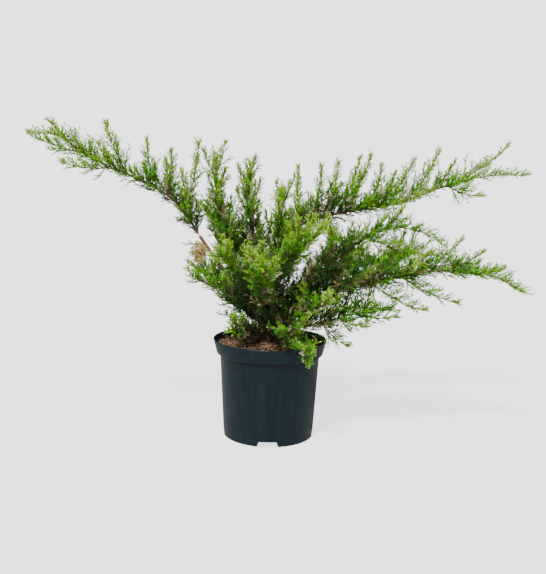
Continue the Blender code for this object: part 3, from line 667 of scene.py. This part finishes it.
def path_along(start, heading, rise, length, count):
    """Points along a limb whose compass heading and rise change evenly between the given angles."""
    places = (np.arange(count) + 0.5) / count
    slope = np.radians(np.interp(places, np.linspace(0, 1, len(rise)), rise))
    course = np.radians(np.interp(places, np.linspace(0, 1, len(heading)), heading))
    level = np.cos(slope)
    steps = np.stack([level * np.cos(course), level * np.sin(course), np.sin(slope)], axis=1)
    return np.vstack([start, start + np.cumsum(steps * length / count, axis=0)])


def arm_path(arm):
    count = round(arm.length / PATH_STEP)
    return path_along(stem_point(arm.foot), arm.heading, arm.rise, arm.length, count)


def stretch(path, start, end, step):
    """Part of a path, between two lengths along it, with points about a step apart."""
    pieces = np.linalg.norm(np.diff(path, axis=0), axis=1)
    lengths = np.concatenate([[0.0], np.cumsum(pieces)])
    count = max(2, round((end - start) / step) + 1)
    places = np.linspace(start, end, count)
    return np.stack([np.interp(places, lengths, path[:, k]) for k in range(3)], axis=1)


def unit(vector):
    return vector / np.linalg.norm(vector)


def leader_path(arm, leader):
    """A leader keeps its mean rise, and bends up a little towards its tip."""
    path = arm_path(arm)
    at = leader.along * arm.length
    root, ahead = stretch(path, at, at + PATH_STEP, PATH_STEP)
    forward = ahead - root
    heading = math.degrees(math.atan2(forward[1], forward[0])) + leader.turn
    rise = (leader.rise - LEADER_BEND, leader.rise + LEADER_BEND)
    return path_along(root, (heading, heading), rise, leader.length, LEADER_SAMPLES)


def bough_radius(arm, place):
    return arm.girth * (1 + (BOUGH_TAPER - 1) * place / arm.bare)


# Directions, in rows

def unit_rows(vectors):
    return vectors / np.maximum(np.linalg.norm(vectors, axis=1, keepdims=True), LEAST_NORM)


def cross_rows(forward):
    """Two directions across each row, the first one level."""
    across = unit_rows(np.cross(forward, (0.0, 0.0, 1.0)) + SIDE_OF_UPRIGHT)
    return across, np.cross(across, forward)


def leaning(forward, turn, spread, lift):
    """Lean away from each row by the spread, round it by the turn, then towards the light."""
    across, over = cross_rows(forward)
    round_it = np.cos(turn)[:, None] * across + np.sin(turn)[:, None] * over
    outward = np.cos(spread)[:, None] * forward + np.sin(spread)[:, None] * round_it
    outward[:, 2] += lift
    return unit_rows(outward)


def along(points, shares):
    """Places at shares of a path's length, and the directions there."""
    steps = np.diff(points, axis=0)
    pieces = np.linalg.norm(steps, axis=1)
    lengths = np.concatenate([[0.0], np.cumsum(pieces)])
    places = np.asarray(shares) * lengths[-1]
    where = np.clip(np.searchsorted(lengths, places, side="right") - 1, 0, len(pieces) - 1)
    spots = np.stack([np.interp(places, lengths, points[:, k]) for k in range(3)], axis=1)
    return spots, steps[where] / pieces[where][:, None]


def clear_of_pot(points):
    """How far points are from the rim and the potting mix."""
    distance = np.hypot(points[:, 0], points[:, 1])
    past_rim = np.maximum(points[:, 2] - POT_HEIGHT, distance - RIM_RADIUS)
    return np.where(distance < RIM_RADIUS - 2 * WALL, points[:, 2] - SOIL_HEIGHT, past_rim)


# Woody limbs with bark relief

def limb(points, radii, sides, rng):
    """Corners and faces of a limb, with ridges that wind along it, drawn in at both ends."""
    _, forward = along(points, np.linspace(0.0, 1.0, len(points)))
    across = np.zeros_like(points)
    side = np.cross(forward[0], FIRST_SIDE)
    for i, ahead in enumerate(forward):
        side = unit(side - ahead * np.dot(side, ahead))
        across[i] = side
    over = np.cross(forward, across)
    angles = np.linspace(0, 2 * math.pi, sides, endpoint=False)
    places = np.concatenate([[0.0], np.cumsum(np.linalg.norm(np.diff(points, axis=0), axis=1))])
    swell = np.zeros((len(points), sides))
    for ridges in BARK_RIDGES:
        wind = rng.normal(0.0, BARK_WIND) * places[:, None]
        swell += np.sin(ridges * angles[None, :] + rng.uniform(0, 2 * math.pi) + wind)
    swell = BARK_DEPTH * swell + rng.normal(0.0, BARK_GRAIN, swell.shape)
    size = np.asarray(radii)[:, None] * (1 + swell)
    size[0] *= LIMB_END
    size[-1] *= LIMB_END
    corners = points[:, None, :] + rings(across, over, angles) * size[:, :, None]
    return corners.reshape(-1, 3), grid_faces(len(points), sides)[:, ::-1]


def make_stem(material, rng):
    heights = np.arange(0.0, STEM_HEIGHT, BARK_STEP)
    points = np.array([stem_point(height) for height in heights])
    corners, faces = limb(points, np.interp(heights, STEM_HEIGHTS, STEM_RADII), STEM_SIDES, rng)
    finish_piece(add_object("stem_bark", mesh_of_arrays("stem_bark", corners, faces, [material])), "trunk")


def make_bough(arm, material, rng):
    points = stretch(arm_path(arm), 0.0, arm.bare, BARK_STEP)
    places = np.linspace(0.0, arm.bare, len(points))
    corners, faces = limb(points, bough_radius(arm, places), BOUGH_SIDES, rng)
    name = arm.name + "_bark"
    finish_piece(add_object(name, mesh_of_arrays(name, corners, faces, [material])), arm.name + "_bough")


# Foliage

class Axis(NamedTuple):
    """A woody shoot that bears side shoots, with the light at its root and tip."""
    points: np.ndarray
    radii: tuple                # none where the limb has its own bark
    reach: float
    crowd: float
    light: tuple


class Shoots(NamedTuple):
    """Many curved shoots at once. A point lies at root + ahead * run + bend * run * run."""
    root: np.ndarray
    ahead: np.ndarray
    bend: np.ndarray
    length: np.ndarray
    light: np.ndarray
    kind: np.ndarray

    def spots(self, index, share):
        run = (self.length[index] * share)[:, None]
        point = self.root[index] + self.ahead[index] * run + self.bend[index] * run ** 2
        return point, unit_rows(self.ahead[index] + 2 * self.bend[index] * run)

    def kept(self, keep):
        return Shoots(*[rows[keep] for rows in self])


def path_length(points):
    return float(np.linalg.norm(np.diff(points, axis=0), axis=1).sum())


def axes_of(arm, rng):
    """The arm, the inner part of its limb, its leaders and its plumes."""
    main = stretch(arm_path(arm), arm.bare, arm.length, AXIS_STEP)
    radii = (bough_radius(arm, arm.bare), AXIS_TIP_RADIUS)
    inner = stretch(arm_path(arm), *[share * arm.bare for share in INNER_PART[arm.together]], AXIS_STEP)
    # Each axis's light range sets the painted shade and painted light of its greens: darkest on the inner
    # limb, lightest on the leaders
    axes = [Axis(main, radii, arm.reach * FULLNESS, SHOOTS_TOGETHER[arm.together], ARM_LIGHT),
            Axis(inner, None, INNER_REACH, INNER_SHOOTS, INNER_LIGHT)]
    for leader in arm.leaders:
        points = stretch(leader_path(arm, leader), 0.0, leader.length, AXIS_STEP)
        axes.append(Axis(points, LEADER_RADII, LEADER_REACH, LEADER_SHOOTS, LEADER_LIGHT))
    return axes + plumes_of(arm, main, rng)


def plumes_of(arm, main, rng):
    """Side branches all round the dense part of an arm, which turn up towards the light."""
    end = 1.0
    if arm.leaders:
        end = arm.heart_end if arm.heart else PLUME_PART
    count = round(end * path_length(main) / PLUME_SPACING)
    share = end * (np.arange(count) + rng.uniform(*PLUME_PLACES, count)) / count
    root, forward = along(main, share)
    turn = GOLDEN_TURN * np.arange(count) + rng.uniform(0.0, 2 * math.pi)
    ahead = leaning(forward, turn, np.full(count, PLUME_SPREAD), PLUME_LIFT)
    length = PLUME_LENGTH * arm.reach * (1 - PLUME_SHORTENING * share) * rng.uniform(*SHOOT_SIZES, count)
    run = np.linspace(0.0, 1.0, LEADER_SAMPLES)[None, :, None] * length[:, None, None]
    rise = PLUME_BEND * run ** 2 / length[:, None, None] * np.array((0.0, 0.0, 1.0))
    lines = root[:, None, :] + ahead[:, None, :] * run + rise
    # Painted light and shade: a plume's green follows the arm's light at its root, darker near the stem,
    # and grows lighter towards its tip
    lights = np.interp(share, (0.0, 1.0), ARM_LIGHT)
    return [Axis(line, LEADER_RADII, PLUME_REACH, PLUME_SHOOTS, (light, light + PLUME_LIGHT))
            for line, light in zip(lines, lights) if room_for(line).all()]


def shoots_on(axis, rng):
    """Side shoots all round an axis, shorter and closer to it towards its tip."""
    count = round(path_length(axis.points) * axis.crowd / SHOOT_SPACING)
    share = np.concatenate([(np.arange(count) + rng.uniform(0, 1, count)) / count, np.ones(TIP_SHOOTS)])
    total = len(share)
    root, forward = along(axis.points, share)
    turn = GOLDEN_TURN * np.arange(total) + rng.normal(0.0, SHOOT_TURN_VARIES, total)
    spread = np.radians(rng.normal(*SHOOT_SPREAD, total)) * (1 - TIP_NARROWING * share ** 3)
    length = axis.reach * (1 - (1 - TIP_SHARE) * share) * rng.uniform(*SHOOT_SIZES, total)
    bend = rng.normal(0.0, SHOOT_SWAY, (total, 3)) / length[:, None]
    bend[:, 2] += rng.normal(*SHOOT_BEND, total) / length
    # Painted light and shade: a shoot's light, which sets its green, rises from the axis's root to its tip
    # and with the shoot's height in the plant
    height = np.clip((root[:, 2] - HEIGHT_SPAN[0]) / (HEIGHT_SPAN[1] - HEIGHT_SPAN[0]), 0.0, 1.0)
    light = np.interp(share, (0.0, 1.0), axis.light) + HEIGHT_LIGHT * (height - 0.5)
    light += rng.normal(0.0, LIGHT_VARIES, total)
    chance = rng.uniform(0.0, 1.0, total)
    kind = np.where(chance < CREAM_SHARE, CREAM, LIVE)
    kind = np.where(chance > 1 - DEAD_SHARE * np.clip(DEAD_BELOW - light, 0.0, 1.0), DEAD, kind)
    return Shoots(root, leaning(forward, turn, spread, SHOOT_LIFT), bend, length, light, kind)


def spaced(lengths, spacing, start, rng):
    """Places along many shoots: the number of the shoot, the count on it, and the share of its length."""
    counts = np.maximum(1, np.round(lengths * (1 - start) / spacing)).astype(int)
    index = np.repeat(np.arange(len(lengths)), counts)
    number = np.arange(len(index)) - np.repeat(np.cumsum(counts) - counts, counts)
    share = start + (1 - start) * (number + rng.uniform(*PLACE_VARIES, len(index))) / counts[index]
    return index, number, share


def shootlets_on(shoots, rng):
    """Slim shootlets on both sides of each shoot, longest near its root."""
    index, number, share = spaced(shoots.length, SHOOTLET_SPACING, SHOOTLET_START, rng)
    root, forward = shoots.spots(index, share)
    total = len(index)
    turn = math.pi * (number % 2) + rng.uniform(0, math.pi, len(shoots.length))[index]
    turn += rng.normal(0.0, SHOOTLET_ROLL, total)
    spread = np.radians(rng.normal(*SHOOTLET_SPREAD, total))
    length = np.interp(share, (0.0, 1.0), SHOOTLET_LENGTHS) * rng.uniform(*SHOOTLET_SIZES, total)
    length *= np.clip(shoots.length[index] / SHOOTLET_FULL_AT, SHOOTLET_LEAST, 1.0)
    bend = rng.normal(0.0, SHOOTLET_BEND, (total, 3)) / length[:, None]
    # Painted light: shootlets further out along a shoot get a lighter green
    light = shoots.light[index] + ALONG_LIGHT * (share - 0.5) + rng.normal(0.0, 0.5 * LIGHT_VARIES, total)
    chance = rng.uniform(0.0, 1.0, total)
    parent = shoots.kind[index]
    kind = np.where((parent == LIVE) & (chance < CREAM_FLECKS), CREAM, parent)
    kind = np.where((parent == CREAM) & (chance < GREEN_FLECKS), LIVE, kind)
    return Shoots(root, leaning(forward, turn, spread, SHOOTLET_LIFT), bend, length, light, kind)


def room_for(points):
    """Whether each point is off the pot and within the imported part's reach."""
    low, high = np.array(PACKED_BOUNDS[0]), np.array(PACKED_BOUNDS[1])
    margin = REACH_SHARE * (high - low) + REACH_SPARE
    within = (points > low - margin).all(axis=1) & (points < high + margin).all(axis=1)
    return within & (clear_of_pot(points) > POT_CLEARANCE)


def within_room(shoots):
    everything = np.arange(len(shoots.length))
    keep = np.ones(len(everything), dtype=bool)
    for share in ROOM_SHARES:
        spots, _ = shoots.spots(everything, np.full(len(everything), share))
        keep &= room_for(spots)
    return shoots.kept(keep)


def needle_corners(root, ahead, beside, length, width):
    """Four corners for each needle, which is folded along its middle."""
    side = unit_rows(np.cross(ahead, beside))
    over = np.cross(side, ahead)
    length = np.asarray(length)[:, None]
    middle = root + NEEDLE_WIDEST * length * ahead + NEEDLE_FOLD * width * over
    half = 0.5 * width * side
    return np.stack([root, middle + half, root + length * ahead, middle - half], axis=1).reshape(-1, 3)


def needle_faces(count):
    return (np.arange(count)[:, None, None] * NEEDLE_CORNERS + np.array(NEEDLE_HALVES)).reshape(-1, 3)


def needles_on(shoots, spacing, rng):
    """Pairs of needles along shoots, each pair crosswise to the last: their corners and colours."""
    index, number, share = spaced(shoots.length, spacing, 0.0, rng)
    root, forward = shoots.spots(index, share)
    turn = 0.5 * math.pi * (number % 2) + rng.uniform(0, math.pi, len(shoots.length))[index]
    corners, tones = [], []
    for half_turn in (0.0, math.pi):
        total = len(index)
        spread = np.radians(rng.normal(*NEEDLE_SPREAD, total)) * (1 - NEEDLE_NARROWING * share ** 2)
        ahead = leaning(forward, turn + half_turn + rng.normal(0, NEEDLE_TURN_VARIES, total), spread, 0.0)
        length = rng.uniform(*NEEDLE_LENGTH, total) * (1 - NEEDLE_SHORTENING * share)
        corners.append(needle_corners(root, ahead, forward, length, NEEDLE_WIDTH))
        # A needle's green steps with its shoot's light, lighter towards the tip: painted light and shade,
        # the lighter tips partly the young needles' own colour
        light = shoots.light[index] + TIP_LIGHT * (share - TIP_LIGHT_FROM)
        light += rng.normal(0, NEEDLE_LIGHT_VARIES, total)
        green = np.digitize(light, GREEN_STEPS)
        tones.append(np.where(shoots.kind[index] == LIVE, green, shoots.kind[index]))
    return np.concatenate(corners), np.concatenate(tones)


def twigs_of(shoots, samples, radii):
    """Slim tapering tubes along shoots."""
    count = len(shoots.length)
    share = np.linspace(0.0, 1.0, samples)
    spots, forward = shoots.spots(np.repeat(np.arange(count), samples), np.tile(share, count))
    across, over = cross_rows(forward)
    radius = np.tile(np.interp(share, (0.0, 1.0), radii), count)
    angles = np.linspace(0, 2 * math.pi, TWIG_SIDES, endpoint=False)
    corners = spots[:, None, :] + rings(across, over, angles) * radius[:, None, None]
    first = np.arange(count)[:, None, None] * samples * TWIG_SIDES
    return corners.reshape(-1, 3), (first + grid_faces(samples, TWIG_SIDES)).reshape(-1, 4)


def of_kind(shoots, kind):
    """The same shoots, all of one kind where a kind is given."""
    if kind is None:
        return shoots
    return shoots._replace(kind=np.full(len(shoots.length), kind))


def add_needles(name, node, corners, tones, materials):
    """Pieces of needles, each small enough to export."""
    for start in range(0, len(tones), PIECE_NEEDLES):
        part = tones[start:start + PIECE_NEEDLES]
        points = corners[NEEDLE_CORNERS * start:NEEDLE_CORNERS * (start + len(part))]
        mesh = mesh_of_arrays(f"{name}_needles_{start // PIECE_NEEDLES}", points, needle_faces(len(part)),
                              materials, np.repeat(part, len(NEEDLE_HALVES)))
        finish_piece(add_object(mesh.name, mesh), node)


def add_twigs(name, node, axes, shoots, shootlets, materials, rng):
    """One piece with the woody axes and shoots in the first material and the shootlets in the second."""
    rows = [limb(axis.points, np.linspace(*axis.radii, len(axis.points)), AXIS_SIDES, rng)
            for axis in axes if axis.radii]
    rows.append(twigs_of(shoots, SHOOT_SAMPLES, SHOOT_RADII))
    woody = sum(len(faces) for _, faces in rows)
    rows.append(twigs_of(shootlets, SHOOTLET_SAMPLES, SHOOTLET_RADII))
    corners, faces = join_rows(rows)
    slots = (np.arange(len(faces)) >= woody).astype(int)
    mesh = mesh_of_arrays(name + "_twigs", corners, faces, materials, slots)
    finish_piece(add_object(name + "_twigs", mesh), node)


def make_mass(name, node, axes, needles, twigs, rng, kind=None):
    """Twigs and needles of one mass, which replace its solid, all of one kind if it is given."""
    rows = [shoots_on(axis, rng) for axis in axes]
    shoots = of_kind(within_room(Shoots(*[np.concatenate(column) for column in zip(*rows)])), kind)
    shootlets = of_kind(within_room(shootlets_on(shoots, rng)), kind)
    pairs = [needles_on(shoots, SHOOT_NEEDLE_SPACING, rng), needles_on(shootlets, NEEDLE_SPACING, rng)]
    corners, tones = [np.concatenate(column) for column in zip(*pairs)]
    add_needles(name, node, corners, tones, needles)
    add_twigs(name, node, axes, shoots, shootlets, twigs, rng)


def tuft_line():
    arm = next(arm for arm in ARMS if arm.name == TUFT_ARM)
    root = stretch(arm_path(arm), TUFT_PLACE, TUFT_PLACE + PATH_STEP, PATH_STEP)[0]
    line = path_along(root, (TUFT_HEADING,), (TUFT_RISE,), TUFT_LENGTH, 1)
    return stretch(line, 0.0, TUFT_LENGTH, AXIS_STEP)


def make_foliage():
    """Limbs with their masses, the stem and the dead tuft."""
    needles = [plain_material(name, colour, NEEDLE_ROUGHNESS) for name, colour in NEEDLE_COLOURS]
    twig_bark = plain_material("twig_bark", TWIG_COLOUR, TWIG_ROUGHNESS)
    limb_bark = grained_material("limb_bark", **LIMB_BARK)
    for i, arm in enumerate(ARMS):
        rng = np.random.default_rng(SEED + i)
        make_bough(arm, limb_bark, rng)
        twigs = [twig_bark, needles[SHOOTLET_GREEN]]
        make_mass(arm.name, arm.name + "_foliage", axes_of(arm, rng), needles, twigs, rng)
    rng = np.random.default_rng(SEED)
    make_stem(grained_material("stem_bark", **STEM_BARK), rng)
    tuft = Axis(tuft_line(), TUFT_RADII, TUFT_REACH, TUFT_SHOOTS, TUFT_LIGHT)
    make_mass("dead_tuft", "dead_tuft", [tuft], needles, [twig_bark, needles[STRAW]], rng, STRAW)


# Stage, light and camera

def brighter_to_camera(tree, low, high, socket):
    """Set a strength that is high where the camera looks at it and low for the light it gives."""
    rays = tree.nodes.new("ShaderNodeLightPath")
    strength = tree.nodes.new("ShaderNodeMapRange")
    strength.inputs["To Min"].default_value = low
    strength.inputs["To Max"].default_value = high
    tree.links.new(rays.outputs["Is Camera Ray"], strength.inputs["Value"])
    tree.links.new(strength.outputs["Result"], socket)


def add_floor():
    """A pale floor, just under the pot, which looks as bright as the sky."""
    mesh = bpy.data.meshes.new("floor")
    half = 0.5 * FLOOR_SIZE
    corners = [(-half, -half, 0.0), (half, -half, 0.0), (half, half, 0.0), (-half, half, 0.0)]
    mesh.from_pydata(corners, [], [(0, 1, 2, 3)])
    pale = plain_material("pale_floor", FLOOR_COLOUR, FLOOR_ROUGHNESS)
    shader = pale.node_tree.nodes["Principled BSDF"]
    shader.inputs["Emission Color"].default_value = WHITE
    brighter_to_camera(pale.node_tree, 0.0, FLOOR_GLOW, shader.inputs["Emission Strength"])
    mesh.materials.append(pale)
    floor = add_object("floor", mesh)
    floor.location.z = -FLOOR_DROP


def add_sun(name, place, strength, angle):
    data = bpy.data.lights.new(name, "SUN")
    data.energy = strength
    data.angle = math.radians(angle)
    sun = add_object(name, data)
    sun.matrix_world = (-Vector(place)).to_track_quat("-Z", "Y").to_matrix().to_4x4()


def add_lights():
    """Sunlight from the front left, softened by a second sun and an even sky."""
    world = bpy.data.worlds.new("studio")
    world.use_nodes = True
    sky = world.node_tree.nodes["Background"]
    sky.inputs["Color"].default_value = WHITE
    brighter_to_camera(world.node_tree, SKY_LIGHT, SKY_LOOK, sky.inputs["Strength"])
    bpy.context.scene.world = world
    add_sun("key", *KEY_SUN)
    add_sun("fill", *FILL_SUN)


def add_camera():
    forward = Vector((0.0, math.cos(CAMERA_PITCH), -math.sin(CAMERA_PITCH)))
    up = Vector((0.0, math.sin(CAMERA_PITCH), math.cos(CAMERA_PITCH)))
    right = Vector((1.0, 0.0, 0.0))
    x_axis = math.cos(CAMERA_ROLL) * right + math.sin(CAMERA_ROLL) * up
    y_axis = math.cos(CAMERA_ROLL) * up - math.sin(CAMERA_ROLL) * right
    rows = [(x_axis[k], y_axis[k], -forward[k], CAMERA_PLACE[k]) for k in range(3)]
    data = bpy.data.cameras.new("camera")
    data.lens = CAMERA_LENS
    camera = add_object("camera", data)
    camera.matrix_world = Matrix(rows + [(0.0, 0.0, 0.0, 1.0)])
    bpy.context.scene.camera = camera


def main():
    add_camera()
    add_lights()
    add_floor()
    make_pot()
    rng = np.random.default_rng(SEED)
    make_soil(rng)
    make_chips(rng)
    make_litter(rng)
    make_foliage()
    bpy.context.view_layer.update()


main()
